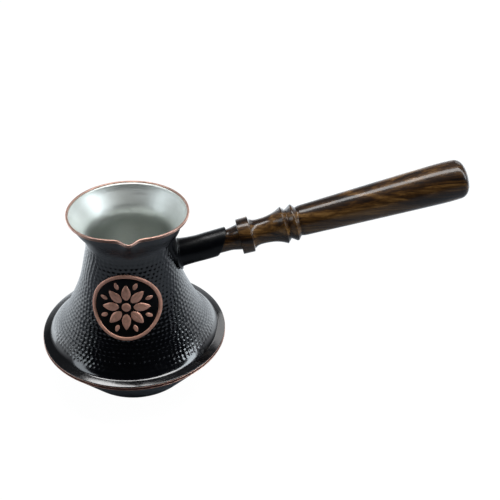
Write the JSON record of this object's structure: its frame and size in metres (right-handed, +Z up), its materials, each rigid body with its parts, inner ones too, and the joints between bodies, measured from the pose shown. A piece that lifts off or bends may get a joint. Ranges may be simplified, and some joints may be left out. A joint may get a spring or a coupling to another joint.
{
  "type": "turkish coffee pot",
  "caption": "Small long-handled coffee pot: waisted copper body with hammered black outside, tin lining, pinched pouring lip, belly flange, round badge and turned wooden handle.",
  "frame": {"origin": "centre of the flat base, on the surface it stands on", "axes": "+Z up along the pot's axis, +X towards the handle, -Y towards the pouring lip"},
  "size_m": [0.2407, 0.1048, 0.1249],
  "materials": {
    "black_copper": "semi-gloss black enamel over copper",
    "bare_copper": "polished bare copper",
    "tin_lining": "satin tin lining",
    "braze": "dull copper braze",
    "walnut": "gloss lacquered dark walnut",
    "steel": "bright zinc"
  },
  "bodies": {
    "pot": {"bell_shell": "black_copper", "base_pan": "black_copper", "seam_braze": "braze", "medallion_plate": "black_copper", "medallion_ring": "bare_copper", "medallion_boss": "bare_copper", "saddle_plate": "black_copper", "ferrule": "black_copper", "ferrule_braze": "black_copper", "ferrule_plug": "steel", "medallion_petal_1": "bare_copper", "medallion_petal_2": "bare_copper", "medallion_petal_3": "bare_copper", "medallion_petal_4": "bare_copper", "medallion_petal_5": "bare_copper", "medallion_petal_6": "bare_copper", "medallion_petal_7": "bare_copper", "medallion_petal_8": "bare_copper"},
    "handle": {"handle_stud": "steel", "wood_handle": "walnut"}
  },
  "joints": [
    {"name": "handle_draw_off", "type": "slide", "parent": "pot", "child": "handle", "axis": [0.9724, 0, 0.2334], "range_m": [0, 0.04]}
  ]
}
